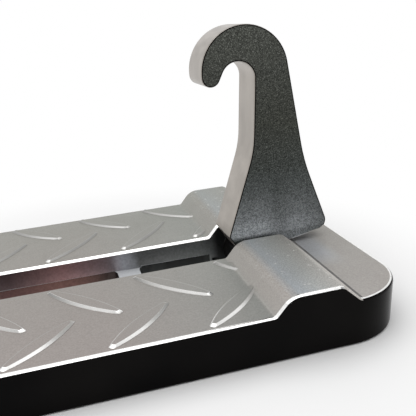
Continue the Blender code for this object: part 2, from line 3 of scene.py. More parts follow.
import bmesh
import bpy
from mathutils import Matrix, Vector


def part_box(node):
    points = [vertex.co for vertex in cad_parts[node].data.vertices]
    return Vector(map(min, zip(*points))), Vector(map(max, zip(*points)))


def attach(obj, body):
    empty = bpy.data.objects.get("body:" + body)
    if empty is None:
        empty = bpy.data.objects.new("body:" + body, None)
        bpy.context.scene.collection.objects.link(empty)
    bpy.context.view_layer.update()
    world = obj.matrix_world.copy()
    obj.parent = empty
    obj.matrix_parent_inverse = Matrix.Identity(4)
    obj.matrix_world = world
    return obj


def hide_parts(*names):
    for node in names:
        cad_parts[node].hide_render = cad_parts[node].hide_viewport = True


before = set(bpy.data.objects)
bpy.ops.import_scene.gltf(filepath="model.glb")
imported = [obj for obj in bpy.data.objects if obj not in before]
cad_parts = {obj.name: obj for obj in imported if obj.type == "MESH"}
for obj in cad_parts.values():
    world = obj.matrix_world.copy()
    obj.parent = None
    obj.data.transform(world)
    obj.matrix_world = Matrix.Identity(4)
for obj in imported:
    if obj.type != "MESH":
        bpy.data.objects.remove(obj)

# folding door latch step: ribbed plate with raised bars, a ridge for the hinge and a hook
# metres, the part stands on the floor at z 0, the hinge end is at +X
scene = bpy.context.scene
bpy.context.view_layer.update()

# what counts as the same place, what is welded together, and what points along an axis
snap, weld, straight = 0.0001, 0.00001, 0.99
sharp = radians(60)
millimetre = 0.001
plateLow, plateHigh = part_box("body_plate")
halfWidth = 0.045
pinLow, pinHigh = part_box("hinge_pin")
pinMiddle = (pinLow + pinHigh) / 2
pinRadius = (pinHigh.z - pinLow.z) / 2
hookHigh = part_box("hook")[1]


# everyday moves: select, edit, cut

def clearSelection():
    if bpy.context.object and bpy.context.object.mode != "OBJECT":
        bpy.ops.object.mode_set(mode="OBJECT")
    bpy.ops.object.select_all(action="DESELECT")


def makeActive(piece):
    clearSelection()
    piece.select_set(True)
    bpy.context.view_layer.objects.active = piece


def pick(piece, kind, test):
    # goes into edit mode with only the wanted verts, edges or faces selected
    makeActive(piece)
    bpy.ops.object.mode_set(mode="EDIT")
    bpy.ops.mesh.select_mode(type={"verts": "VERT", "edges": "EDGE", "faces": "FACE"}[kind])
    bpy.ops.mesh.select_all(action="DESELECT")
    shape = bmesh.from_edit_mesh(piece.data)
    for item in getattr(shape, kind):
        if test(item):
            item.select_set(True)
    bmesh.update_edit_mesh(piece.data)


def pickAll(piece):
    makeActive(piece)
    bpy.ops.object.mode_set(mode="EDIT")
    bpy.ops.mesh.select_mode(type="VERT")
    bpy.ops.mesh.select_all(action="SELECT")


def leaveEdit():
    bpy.ops.object.mode_set(mode="OBJECT")


def applyPlace(piece):
    makeActive(piece)
    bpy.ops.object.transform_apply(location=True, rotation=True, scale=True)


def addBox(name, low, high, finish):
    clearSelection()
    middle = [(a + b) / 2 for a, b in zip(low, high)]
    span = [b - a for a, b in zip(low, high)]
    bpy.ops.mesh.primitive_cube_add(size=1, location=middle, scale=span)
    piece = bpy.context.object
    piece.name = piece.data.name = name
    applyPlace(piece)
    piece.data.materials.append(finish)
    return piece


def addRod(name, radius, length, middle, axis, finish, sides):
    clearSelection()
    turn = {"X": (0, pi / 2, 0), "Y": (pi / 2, 0, 0), "Z": (0, 0, 0)}[axis]
    bpy.ops.mesh.primitive_cylinder_add(vertices=sides, radius=radius, depth=length, location=middle,
                                        rotation=turn)
    piece = bpy.context.object
    piece.name = piece.data.name = name
    applyPlace(piece)
    piece.data.materials.append(finish)
    return piece


def isUpright(edge):
    way = edge.verts[1].co - edge.verts[0].co
    return way.length > 0 and abs(way.z) / way.length > straight


def edgeMiddle(edge):
    return (edge.verts[0].co + edge.verts[1].co) / 2


def bevelPicked(width, segments, finishIndex=-1):
    # new faces take the finish beside them unless a number is given
    bpy.ops.mesh.bevel(offset=width, segments=segments, affect="EDGES", clamp_overlap=False,
                       material=finishIndex)


def roundUprights(piece, radius, segments, test=lambda edge: True):
    pick(piece, "edges", lambda edge: isUpright(edge) and test(edge))
    bevelPicked(radius, segments)
    bpy.ops.mesh.select_all(action="SELECT")
    bpy.ops.mesh.remove_doubles(threshold=weld)
    leaveEdit()


def combine(piece, tool, operation="DIFFERENCE"):
    # the faces that a tool leaves behind keep the tool's own finish
    makeActive(piece)
    change = piece.modifiers.new("combine", "BOOLEAN")
    change.operation = operation
    change.solver = "EXACT"
    change.material_mode = "TRANSFER"
    change.object = tool
    bpy.ops.object.modifier_apply(modifier=change.name)
    bpy.data.objects.remove(tool)


def finishNumber(piece, finish):
    if finish.name not in piece.data.materials:
        piece.data.materials.append(finish)
    return piece.data.materials.find(finish.name)


def smoothShade(piece, angle):
    makeActive(piece)
    bpy.ops.object.shade_smooth_by_angle(angle=angle)
    weigh = piece.modifiers.new("weigh", "WEIGHTED_NORMAL")
    weigh.keep_sharp = True
    bpy.ops.object.modifier_apply(modifier=weigh.name)


# finishes

def newFinish(name):
    finish = bpy.data.materials.new(name)
    finish.use_nodes = True
    return finish, finish.node_tree, finish.node_tree.nodes["Principled BSDF"]


def addNode(tree, kind, **settings):
    node = tree.nodes.new(kind)
    for key, value in settings.items():
        setattr(node, key, value)
    return node


def objectNoise(tree, scale, detail=2.0, roughness=0.5, stretch=(1, 1, 1)):
    place = addNode(tree, "ShaderNodeTexCoord")
    mapping = addNode(tree, "ShaderNodeMapping")
    mapping.inputs["Scale"].default_value = stretch
    noise = addNode(tree, "ShaderNodeTexNoise")
    noise.inputs["Scale"].default_value = scale
    noise.inputs["Detail"].default_value = detail
    noise.inputs["Roughness"].default_value = roughness
    tree.links.new(place.outputs["Object"], mapping.inputs["Vector"])
    tree.links.new(mapping.outputs["Vector"], noise.inputs["Vector"])
    return noise.outputs["Fac"]


def ramp(tree, source, stops):
    # stops are (place, colour) pairs, a single number is a grey
    node = addNode(tree, "ShaderNodeValToRGB")
    bar = node.color_ramp
    while len(bar.elements) < len(stops):
        bar.elements.new(0.5)
    for element, (place, colour) in zip(bar.elements, stops):
        element.position = place
        element.color = (*colour, 1) if isinstance(colour, tuple) else (colour, colour, colour, 1)
    tree.links.new(source, node.inputs["Fac"])
    return node.outputs["Color"]


# where a noise turns from the first tone to the second, unless a finish has its own
evenEnds = (0.35, 0.65)


def twoTones(tree, source, first, second, ends=evenEnds):
    return ramp(tree, source, [(ends[0], first), (ends[1], second)])


def alongAxis(tree, axis, stops):
    # a value or a colour by place along one axis, stops in millimetres
    place = addNode(tree, "ShaderNodeTexCoord")
    axes = addNode(tree, "ShaderNodeSeparateXYZ")
    share = addNode(tree, "ShaderNodeMapRange")
    low, high = stops[0][0] * millimetre, stops[-1][0] * millimetre
    share.inputs["From Min"].default_value = low
    share.inputs["From Max"].default_value = high
    tree.links.new(place.outputs["Object"], axes.inputs["Vector"])
    tree.links.new(axes.outputs[axis], share.inputs["Value"])
    return ramp(tree, share.outputs["Result"], [((at * millimetre - low) / (high - low), value)
                                                for at, value in stops])


def mixColours(tree, factor, first, second, blend="MIX"):
    node = addNode(tree, "ShaderNodeMix", data_type="RGBA", blend_type=blend)
    for socket, value in (("Factor_Float", factor), ("A_Color", first), ("B_Color", second)):
        target = next(item for item in node.inputs if item.identifier == socket)
        if isinstance(value, bpy.types.NodeSocket):
            tree.links.new(value, target)
        else:
            target.default_value = value if socket == "Factor_Float" else (*value, 1)
    return next(item for item in node.outputs if item.identifier == "Result_Color")


def multiply(tree, first, second):
    return mixColours(tree, 1.0, first, second, "MULTIPLY")


def dress(tree, shader, colour, look):
    # colour from the nodes, the plain values from the finish's own dictionary
    tree.links.new(colour, shader.inputs["Base Color"])
    sockets = {"metallic": "Metallic", "rough": "Roughness", "specular": "Specular IOR Level",
               "subsurface": "Subsurface Weight", "subsurfaceReach": "Subsurface Radius"}
    for key, socket in sockets.items():
        if key in look:
            shader.inputs[socket].default_value = look[key]


def addBump(tree, shader, height, look):
    bump = addNode(tree, "ShaderNodeBump")
    bump.inputs["Strength"].default_value = look["bump"]
    bump.inputs["Distance"].default_value = look["bumpDepth"]
    tree.links.new(height, bump.inputs["Height"])
    tree.links.new(bump.outputs["Normal"], shader.inputs["Normal"])


def addRoughness(tree, shader, noise, look):
    rough = twoTones(tree, noise, *look["roughTones"], look["roughEnds"])
    tree.links.new(rough, shader.inputs["Roughness"])


def mottled(name, look):
    # two tones by a noise of (scale, detail), the bump by the same one unless it has its own
    finish, tree, shader = newFinish(name)
    noise = objectNoise(tree, *look["noise"], stretch=look.get("stretch", (1, 1, 1)))
    dress(tree, shader, twoTones(tree, noise, look["dark"], look["pale"], look.get("ends", evenEnds)), look)
    if "roughTones" in look:
        addRoughness(tree, shader, noise, look)
    if "bump" in look:
        height = objectNoise(tree, *look["bumpNoise"]) if "bumpNoise" in look else noise
        addBump(tree, shader, height, look)
    return finish


# tones along the step, as (x in millimetres, colour): tread, ridge rise, ridge top, ridge fall, shelf; the
# ridge's flanks, and most of all its fall, are painted lighter as painted highlight, and the bluish band on
# the ridge's top is a painted reflection of the hook
satinTonesAndSheen = [(-70, (0.354, 0.314, 0.296)), (10, (0.316, 0.281, 0.265)), (43.5, (0.296, 0.300, 0.284)),
              (45.0, (0.405, 0.378, 0.354)), (48.2, (0.410, 0.380, 0.356)), (50.5, (0.455, 0.485, 0.515)),
              (55.0, (0.440, 0.452, 0.446)), (59.5, (0.440, 0.425, 0.400)), (61.5, (0.670, 0.635, 0.600)),
              (64.4, (0.640, 0.606, 0.572)), (65.2, (0.385, 0.362, 0.344)), (79.0, (0.375, 0.347, 0.327))]
ridgeScuffs = [(46.0, 0.05), (49.5, 0.9), (60.5, 1.0), (63.5, 0.3), (66.0, 0.10), (79.0, 0.05)]
# the cooler patch on the shelf under the hook's heel, a painted reflection of the hook
heelReflectionAlong = [(63.0, 0.0), (64.6, 1.0), (69.5, 0.9), (72.5, 0.0)]
heelReflectionAcross = [(-26.0, 0.0), (-17.0, 1.0), (17.0, 1.0), (26.0, 0.0)]
satinLook = {"heelReflectionColour": (0.400, 0.412, 0.430), "scuffNoise": (620.0, 3.0, 0.65),
             "scuffEnds": (0.63, 0.70), "scuffColour": (0.66, 0.66, 0.64), "far": (0.262, 0.272, 0.240),
             "acrossSheenStops": [(-45, 0.0), (45, 0.66)], "patchNoise": (14.0, 4.0), "patchShare": 0.06,
             "grain": 3000.0, "treadGrain": (0.84, 1.0), "ridgeGrain": (0.66, 1.05), "metallic": 0.30,
             "roughPatch": 126.0, "roughTones": (0.42, 0.52), "roughEnds": (0.3, 0.7), "bump": 0.20,
             "bumpDepth": 0.00001}


def satinAluminium():
    # blasted and clear coated: warm on the tread, a little scuffed on top of the ridge and cooler there by a
    # painted reflection of the hook
    finish, tree, shader = newFinish("satinAluminium")
    patches = objectNoise(tree, *satinLook["patchNoise"])
    # painted reflection: the far half a little greener than the near one
    drift = addNode(tree, "ShaderNodeMath", operation="MULTIPLY_ADD")
    drift.inputs[1].default_value = satinLook["patchShare"]
    tree.links.new(patches, drift.inputs[0])
    tree.links.new(alongAxis(tree, "Y", satinLook["acrossSheenStops"]), drift.inputs[2])
    # the tones along the step carry painted highlight and painted reflection
    tone = mixColours(tree, drift.outputs[0], alongAxis(tree, "X", satinTonesAndSheen), satinLook["far"])
    scuffs = twoTones(tree, objectNoise(tree, *satinLook["scuffNoise"]), 0.0, 1.0, satinLook["scuffEnds"])
    onRidge = multiply(tree, scuffs, alongAxis(tree, "X", ridgeScuffs))
    tone = mixColours(tree, onRidge, tone, satinLook["scuffColour"])
    # painted reflection of the hook on the shelf under its heel
    heelReflection = multiply(tree, alongAxis(tree, "X", heelReflectionAlong), alongAxis(tree, "Y", heelReflectionAcross))
    tone = mixColours(tree, heelReflection, tone, satinLook["heelReflectionColour"])
    grain = objectNoise(tree, satinLook["grain"])
    speckle = mixColours(tree, alongAxis(tree, "X", ridgeScuffs),
                         twoTones(tree, grain, *satinLook["treadGrain"]),
                         twoTones(tree, grain, *satinLook["ridgeGrain"]))
    dress(tree, shader, multiply(tree, tone, speckle), satinLook)
    addRoughness(tree, shader, objectNoise(tree, satinLook["roughPatch"]), satinLook)
    addBump(tree, shader, grain, satinLook)
    return finish


# places across the step where each row of bars' bevels is palest (1) and darkest (0): partly rubbed bare,
# partly painted highlight where the bevels catch light
faceWearAndSheen = [(-43.5, 1), (-38.5, 1), (-35, 0.45), (-28.6, 0.42), (-28.5, 0.40), (-10.2, 0), (10.2, 0.30),
            (16, 0.08), (28.5, 0.08), (28.6, 0.36), (33.5, 0.16), (43.5, 0.1)]
lineWearAndSheen = [(-43.5, 0.6), (-36, 0.25), (-28.6, 0.1), (-28.5, 1), (-14, 0.5), (-10.2, 0.2), (10.2, 0.35),
            (14, 0.1), (28.5, 0), (28.6, 0.35), (32, 0.1), (43.5, 0)]
# the far bevel's line is a darker copy of the line, a painted shade
wearAndSheenLook = {"face": ((0.27, 0.266, 0.255), (0.97, 0.965, 0.95)), "faceMetallic": 0.45,
            "line": ((0.34, 0.335, 0.32), (0.97, 0.97, 0.96)), "lineMetallic": 0.90,
            "farLineShade": ((0.34, 0.335, 0.32), (0.50, 0.495, 0.48)),
            "streakNoise": (5000.0, 2.0), "streakDark": 0.88, "rough": 0.28}


def bevelWearAndSheen(name, tones, wearAndSheen, metallic):
    # the bars' edges, rubbed bare and with painted highlight, palest on the front rows
    finish, tree, shader = newFinish(name)
    tone = mixColours(tree, alongAxis(tree, "Y", wearAndSheen), *tones)
    streaks = twoTones(tree, objectNoise(tree, *wearAndSheenLook["streakNoise"]), wearAndSheenLook["streakDark"], 1.0)
    dress(tree, shader, multiply(tree, tone, streaks), wearAndSheenLook)
    shader.inputs["Metallic"].default_value = metallic
    return finish


# tones along the slot, as (x in millimetres, colour): brown-red near the middle, a paler patch over the
# bridge that is a painted reflection of it, and near-black towards the hinge as painted shadow of the hook
slotTonesAndShading = [(-36, (0.17, 0.14, 0.14)), (-12, (0.14, 0.100, 0.103)), (-4, (0.28, 0.18, 0.18)),
             (2, (0.41, 0.25, 0.25)), (14, (0.33, 0.255, 0.270)), (19, (0.40, 0.40, 0.43)),
             (24, (0.23, 0.235, 0.235)), (42, (0.26, 0.275, 0.27)), (45, (0.20, 0.21, 0.21)),
             (47, (0.05, 0.05, 0.05)), (62, (0.05, 0.05, 0.05))]
# the windows' walls darker still, a painted shade deep under the slot, brown-red in the middle
windowShadeTones = [(-36, (0.10, 0.07, 0.068)), (-12, (0.14, 0.075, 0.07)), (0, (0.21, 0.115, 0.10)),
               (8, (0.17, 0.095, 0.082)), (15, (0.06, 0.045, 0.042))]
slotLook = {"metallic": 0.8, "rough": 0.30, "streakNoise": (1600.0, 3.0), "streakDark": 0.80,
            "bump": 0.25, "bumpDepth": 0.00002}


def slotMetal(name, tones):
    # sawn walls of the slot and of its windows, toned along their length by the given list
    finish, tree, shader = newFinish(name)
    streaks = twoTones(tree, objectNoise(tree, *slotLook["streakNoise"]), slotLook["streakDark"], 1.0)
    dress(tree, shader, multiply(tree, alongAxis(tree, "X", tones), streaks), slotLook)
    addBump(tree, shader, streaks, slotLook)
    return finish


# how much painted reflection of the ridge lies on the hook's foot, by height and by length in millimetres
footSheenHeights = [(14.2, 0.0), (14.8, 0.40), (15.3, 1.0), (17.6, 0.92), (19.4, 0.56), (22.0, 0.38),
               (27.0, 0.12), (33.0, 0.0)]
footSheenLengths = [(46.0, 0.95), (55.0, 1.0), (57.5, 0.92), (60.0, 0.55), (62.0, 0.56), (65.0, 0.75),
               (69.0, 0.60), (74.0, 0.25)]
# and the same painted reflection on the heel, which hangs lower than the ridge's top
heelSheenHeights = [(12.0, 1.0), (14.2, 1.0), (15.3, 0.0)]
heelSheenLengths = [(57.5, 0.0), (60.0, 0.5), (66.0, 0.5), (72.0, 0.2)]
# tint of the coat by height: bluish low down, a painted reflection of the ridge there, darker and greener in
# the middle, paler towards the head
coatTones = [(12, (0.95, 1.02, 1.04)), (30, (0.88, 0.96, 0.96)), (45, (0.76, 0.78, 0.68)),
             (58, (1.02, 1.04, 0.96)), (70, (1.30, 1.32, 1.22))]
coatLook = {"dark": (0.018, 0.019, 0.017), "base": (0.060, 0.063, 0.058), "flake": (0.225, 0.23, 0.225),
            "sheenDark": (0.215, 0.232, 0.245), "sheenPale": (0.600, 0.632, 0.662), "grain": 3300.0,
            "grainRoughness": 0.6, "flakeNoise": (4200.0, 1.0), "flakeShare": 0.8,
            "groundEnds": (0.38, 0.60), "flakeEnds": (0.56, 0.74), "sheenEnds": (0.36, 0.64),
            "metallic": 0.15, "specular": 0.22, "rough": 0.42, "bump": 0.6, "bumpDepth": 0.00004}


def texturedCoat():
    # fine rippled powder coat with pale flakes, with a painted reflection of the ridge just above it
    finish, tree, shader = newFinish("texturedCoat")
    grain = objectNoise(tree, coatLook["grain"], roughness=coatLook["grainRoughness"])
    ground = twoTones(tree, grain, coatLook["dark"], coatLook["base"], coatLook["groundEnds"])
    flakes = objectNoise(tree, *coatLook["flakeNoise"])
    flakes = twoTones(tree, flakes, 0.0, coatLook["flakeShare"], coatLook["flakeEnds"])
    colour = mixColours(tree, flakes, ground, coatLook["flake"])
    colour = multiply(tree, colour, alongAxis(tree, "Z", coatTones))
    # painted reflection of the ridge on the foot and the heel, blended in as a paler tone
    foot = multiply(tree, alongAxis(tree, "Z", footSheenHeights), alongAxis(tree, "X", footSheenLengths))
    heel = multiply(tree, alongAxis(tree, "Z", heelSheenHeights), alongAxis(tree, "X", heelSheenLengths))
    foot = mixColours(tree, 1.0, foot, heel, "ADD")
    sheenTone = twoTones(tree, grain, coatLook["sheenDark"], coatLook["sheenPale"], coatLook["sheenEnds"])
    dress(tree, shader, mixColours(tree, foot, colour, sheenTone), coatLook)
    addBump(tree, shader, grain, coatLook)
    return finish


# finishes of two tones, for mottled
wallLook = {"dark": (0.0026, 0.0024, 0.0024), "pale": (0.0062, 0.0055, 0.0052), "noise": (40.0, 2.0),
            "ends": (0.35, 0.7), "rough": 0.16, "specular": 0.04, "bump": 0.04, "bumpDepth": 0.00003,
            "bumpNoise": (700.0, 2.0)}
# bare metal where the tread's edges are broken and under the hook's heel
brightLook = {"dark": (0.78, 0.78, 0.77), "pale": (0.90, 0.90, 0.89), "noise": (900.0, 3.0),
              "ends": (0.35, 0.6), "metallic": 1.0, "rough": 0.22}
bridgeLook = {"dark": (0.50, 0.52, 0.54), "pale": (0.565, 0.583, 0.600), "noise": (1800.0, 3.0),
              "rough": 0.5, "metallic": 0.3, "bump": 0.15, "bumpDepth": 0.00003}
castLook = {"dark": (0.20, 0.198, 0.19), "pale": (0.33, 0.325, 0.315), "noise": (55.0, 5.0),
            "roughTones": (0.62, 0.42), "roughEnds": (0.3, 0.7), "metallic": 0.9, "bump": 0.35,
            "bumpDepth": 0.00006, "bumpNoise": (900.0, 4.0)}
# bare edge of the hook, with faint lines left by the cutter
millLook = {"dark": (0.305, 0.277, 0.248), "pale": (0.402, 0.368, 0.332), "noise": (500.0, 3.0),
            "stretch": (1, 0.25, 0.05), "metallic": 1.0, "rough": 0.30, "bump": 0.05, "bumpDepth": 0.00003}
steelLook = {"dark": (0.46, 0.46, 0.45), "pale": (0.60, 0.60, 0.59), "noise": (260.0, 4.0),
             "metallic": 1.0, "rough": 0.30}
nylonLook = {"dark": (0.024, 0.024, 0.023), "pale": (0.040, 0.039, 0.037), "noise": (300.0, 2.0),
             "rough": 0.48, "subsurface": 0.08, "subsurfaceReach": (0.001, 0.001, 0.001)}
# painted shade for the crease at the ridge's foot
creaseShadeLook = {"dark": (0.075, 0.072, 0.070), "pale": (0.140, 0.135, 0.130), "noise": (900.0, 2.0),
              "ends": (0.4, 0.7), "rough": 0.6}
# dark inside the right window and on the pin's keepers, a painted shade where these lie deep in the shadow
# of the slot and the hook
shadedRecessLook = {"dark": (0.022, 0.024, 0.023), "pale": (0.056, 0.060, 0.058), "noise": (120.0, 4.0),
              "ends": (0.35, 0.7), "rough": 0.45, "specular": 0.25, "bump": 0.2, "bumpDepth": 0.00003,
              "bumpNoise": (1500.0, 3.0)}
rubberLook = {"dark": (0.012, 0.012, 0.013), "pale": (0.030, 0.030, 0.031), "noise": (1500.0, 3.0),
              "ends": (0.35, 0.7), "rough": 0.72, "specular": 0.35, "bump": 0.25, "bumpDepth": 0.00004}

satin, bright, black = satinAluminium(), mottled("brightCut", brightLook), mottled("glossBlack", wallLook)
barFace = bevelWearAndSheen("barFace", wearAndSheenLook["face"], faceWearAndSheen, wearAndSheenLook["faceMetallic"])
barLine = bevelWearAndSheen("barLine", wearAndSheenLook["line"], lineWearAndSheen, wearAndSheenLook["lineMetallic"])
barFarLineShaded = bevelWearAndSheen("barFarLineShaded", wearAndSheenLook["farLineShade"], lineWearAndSheen, wearAndSheenLook["lineMetallic"])
slotSide, windowSide = slotMetal("slotMetal", slotTonesAndShading), slotMetal("windowMetal", windowShadeTones)
cast, coat, milled = mottled("castUnderside", castLook), texturedCoat(), mottled("milledEdge", millLook)
bridgeCast, creaseShade = mottled("bridgeCasting", bridgeLook), mottled("paintedCreaseShade", creaseShadeLook)
shadedRecess, steel = mottled("paintedShadeRecess", shadedRecessLook), mottled("zincSteel", steelLook)
nylon, rubber = mottled("blackNylon", nylonLook), mottled("blackRubber", rubberLook)
print("finishes made:", len(bpy.data.materials))

# tread plate: one casting with its ridge, slot, bridge, bars and the pockets underneath

plateSize = {"treadHeight": 0.0112, "cornerRadius": 0.0155, "cornerSegments": 32, "edgeBreak": 0.0008,
             "rimSegments": 3, "draft": 0.0005, "skirt": 0.0035, "endWall": 0.0050, "rib": 0.0030,
             "ceiling": 0.0072, "pocketCorner": 0.0030, "pocketSegments": 6, "endPocketSegments": 12,
             "bufferScrewHole": 0.00155, "beyond": 0.0100, "gap": 0.0003, "smoothBelow": radians(24)}
# how far a rim face must lean before it is painted or left plain; the shelf's rim is painted higher up and
# the ridge's fall left plain, a painted shade where the rim catches no light
rimPaintAndShade = {"shelf": 0.85, "elsewhere": 0.42, "fallAlong": 0.2, "fallAcross": 0.8}
ridgeSize = {"shelf": 0.0143, "fall": 0.00435, "top": 0.01225, "rise": 0.0037, "height": 0.0041,
             "shoulderRadius": 0.0047, "browRadius": 0.0025, "riseFillet": 0.0004, "fallFillet": 0.0006,
             "roundSegments": 10, "filletSegments": 3}
slotSize = {"edgeBreak": 0.0006, "lowerBreak": 0.0003, "halfWidth": 0.0085, "fromEnd": 0.0454,
            "depth": 0.0055, "sideWall": 0.0035, "corner": 0.0010, "endSegments": 24, "cornerSegments": 6,
            "undercut": 0.0011, "step": 0.0001, "runout": 0.0006, "windowRadius": 0.0030,
            "bridgeWidth": 0.0062, "bridgeFromPin": 0.0350, "bridgeLift": 0.0014}
hingeSize = {"eyeRadius": 0.0069, "cheek": 0.0165, "cheekFloor": pinLow.z, "saddle": pinRadius + 0.0001,
             "saddleRound": 0.9999, "saddleSegments": 12, "keeperCorner": 0.0020, "keeperSegments": 6,
             "screwHole": 0.0018, "screwSides": 32, "margin": 0.0005}
barSize = {"width": 0.0046, "height": 0.0005, "bevel": 0.0006, "tip": 0.0008, "root": 0.0006,
           "step": 0.00007, "strip": 0.00013, "blunt": 0.0002, "tipRadius": 0.00042, "tipSegments": 3,
           "tipDraw": 1.4, "tipZone": 1.6, "arcSides": 480, "steepest": 0.1, "pitch": 0.0212,
           "margin": 0.0110}
barRows = [{"length": 0.0245, "lean": radians(50), "fromMiddle": 0.0196, "fromRidge": -0.0040},
           {"length": 0.0215, "lean": radians(-46), "fromMiddle": 0.0358, "fromRidge": 0.0063}]

shelfFoot = plateHigh.x - ridgeSize["shelf"]
brow = shelfFoot - ridgeSize["fall"]
shoulder = brow - ridgeSize["top"]
treadFoot = shoulder - ridgeSize["rise"]
slotLeft = plateLow.x + slotSize["fromEnd"]
slotRight = pinMiddle.x + hingeSize["eyeRadius"] + slotSize["runout"]
slotFloor = plateSize["treadHeight"] - slotSize["depth"]
bridgeX = pinMiddle.x - slotSize["bridgeFromPin"]


def liesAcross(edge, x):
    # runs straight across the plate at x
    return abs(edgeMiddle(edge).x - x) < snap and abs(edge.verts[0].co.x - edge.verts[1].co.x) < snap


def roundRidgeEdge(plate, x, radius):
    # an edge across the plate, on the ridge's top, gets a true radius
    slopeRun = ridgeSize["rise"] if x == shoulder else ridgeSize["fall"]
    turn = atan2(ridgeSize["height"], slopeRun)
    pick(plate, "edges", lambda edge: liesAcross(edge, x)
         and edgeMiddle(edge).z > plateSize["treadHeight"] + millimetre)
    bevelPicked(radius * tan(turn / 2), ridgeSize["roundSegments"])
    leaveEdit()


def ridgedBlock():
    beyond, top = plateSize["beyond"], plateSize["treadHeight"]
    block = addBox("stepPlate", (plateLow.x - beyond, -halfWidth - beyond, 0),
                   (plateHigh.x + beyond, halfWidth + beyond, top), satin)
    for x in (treadFoot, shoulder, brow, shelfFoot):
        pickAll(block)
        bpy.ops.mesh.bisect(plane_co=(x, 0, 0), plane_no=(1, 0, 0))
        leaveEdit()
    pick(block, "faces", lambda face: face.normal.z > straight
         and shoulder < face.calc_center_median().x < brow)
    bpy.ops.transform.translate(value=(0, 0, ridgeSize["height"]))
    leaveEdit()
    roundRidgeEdge(block, shoulder, ridgeSize["shoulderRadius"])
    roundRidgeEdge(block, brow, ridgeSize["browRadius"])
    # the shelf's fillet takes the darker crease finish, a painted shade in the crease
    number = finishNumber(block, creaseShade)
    for x, width, finishIndex in ((treadFoot, ridgeSize["riseFillet"], 0),
                                  (shelfFoot, ridgeSize["fallFillet"], number)):
        pick(block, "edges", lambda edge: liesAcross(edge, x) and abs(edgeMiddle(edge).z - top) < snap)
        bevelPicked(width, ridgeSize["filletSegments"], finishIndex)
        leaveEdit()
    # painted shade along both sides of the shelf's fillet, its middle strip keeps the satin
    strips = sorted((face for face in block.data.polygons if face.material_index == number),
                    key=lambda face: face.center.x)
    strips[len(strips) // 2].material_index = 0
    print("strips in the shelf's fillet:", len(strips))
    return block


def planTool():
    # rounded plan of the plate, its walls lean in a little towards the bottom
    top = plateHigh.z + plateSize["beyond"]
    tool = addBox("planTool", (plateLow.x, -halfWidth, -plateSize["gap"]), (plateHigh.x, halfWidth, top),
                  black)
    roundUprights(tool, plateSize["cornerRadius"], plateSize["cornerSegments"])
    middle = (plateLow.x + plateHigh.x) / 2
    for point in tool.data.vertices:
        depth = plateSize["treadHeight"] - plateSize["edgeBreak"] - point.co.z
        inset = plateSize["draft"] * depth / plateSize["treadHeight"]
        point.co.x -= inset if point.co.x > middle else -inset
        point.co.y -= inset if point.co.y > 0 else -inset
    return tool


def slotTool(name, left, right, half, low, high, leftRadius, rightRadius, finish):
    tool = addBox(name, (left, -half, low), (right, half, high), finish)
    middle = (left + right) / 2
    roundUprights(tool, leftRadius, slotSize["endSegments"], lambda edge: edgeMiddle(edge).x < middle)
    roundUprights(tool, rightRadius, slotSize["cornerSegments"], lambda edge:
                  edgeMiddle(edge).x > middle + (right - left) / 4
                  and abs(edgeMiddle(edge).y) > half * straight)
    return tool


def roundRim(plate):
    # bare metal shows on the upper part of the rounded rim, paint begins below it; on the shelf it begins
    # higher and the ridge's fall is plain, a painted shade where the rim catches no light
    number = finishNumber(plate, bright)
    makeActive(plate)
    change = plate.modifiers.new("roundRim", "BEVEL")
    change.width = plateSize["edgeBreak"]
    change.segments = plateSize["rimSegments"]
    change.limit_method = "ANGLE"
    change.angle_limit = sharp
    change.use_clamp_overlap = False
    change.material = number
    bpy.ops.object.modifier_apply(modifier=change.name)
    painted, plain = finishNumber(plate, black), finishNumber(plate, satin)
    for face in plate.data.polygons:
        if face.material_index == number:
            x, normal = face.center.x, face.normal
            isFall = brow < x < shelfFoot and normal.x > rimPaintAndShade["fallAlong"]
            if normal.z < rimPaintAndShade["shelf" if x > shelfFoot else "elsewhere"]:
                face.material_index = painted
            elif isFall and abs(normal.y) < rimPaintAndShade["fallAcross"]:
                face.material_index = plain


def breakSlotEdges(plate, height, width, finish):
    # a flat bevel on the slot's edges at one height, the ridge's included when it is the upper one
    number = finishNumber(plate, finish)
    half = slotSize["halfWidth"]
    isUpper = height > slotFloor + slotSize["step"]

    def isWanted(edge):
        middle = edgeMiddle(edge)
        isAlong = slotLeft - snap < middle.x < slotRight + snap and abs(middle.y) < half + snap
        if isUpper:
            return isAlong and middle.z > height - snap
        return isAlong and abs(middle.z - height) < snap and abs(middle.y) > half - snap

    pick(plate, "edges", lambda edge: len(edge.link_faces) == 2 and edge.calc_face_angle() > sharp
         and isWanted(edge))
    bevelPicked(width, 1, number)
    leaveEdit()


